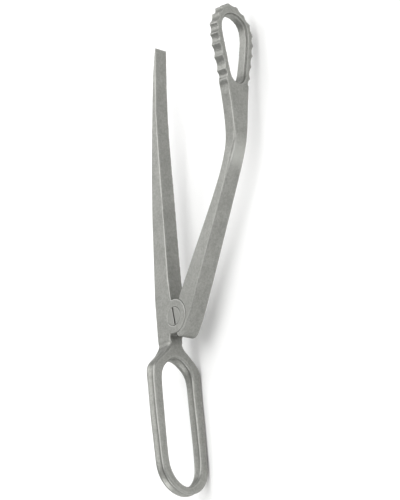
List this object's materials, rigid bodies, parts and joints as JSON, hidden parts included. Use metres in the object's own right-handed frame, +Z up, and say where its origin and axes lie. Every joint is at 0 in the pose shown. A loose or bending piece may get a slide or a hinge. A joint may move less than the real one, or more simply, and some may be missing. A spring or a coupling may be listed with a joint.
{
  "type": "tongs",
  "caption": "Long two-armed steel tongs with one oval ring handle, a tapering blade and a bent arm ending in a windowed, serrated loop.",
  "frame": {"origin": "on the bench, under the middle of the tool's bounding box, with the tool lying as it rests, its pivot axis upright", "axes": "+X from the ring handle to the jaws, +Z up along the pivot axis, +Y towards the blade's side"},
  "size_m": [0.3824, 0.1022, 0.0499],
  "materials": {
    "forged_steel": "satin, blasted grey steel, soft sheen",
    "turned_steel": "turned steel, fine concentric marks"
  },
  "bodies": {
    "handle": {"handle_arm": "forged_steel"},
    "jaw": {"jaw_arm": "forged_steel", "pivot_screw": "turned_steel", "pivot_washer": "turned_steel", "pivot_nut": "turned_steel"}
  },
  "joints": [
    {"name": "pivot", "type": "hinge", "parent": "handle", "child": "jaw", "pos_m": [-0.04756, 0.02875, 0.02494], "axis": [0, 0, 1], "range_deg": [-30, 24]}
  ]
}
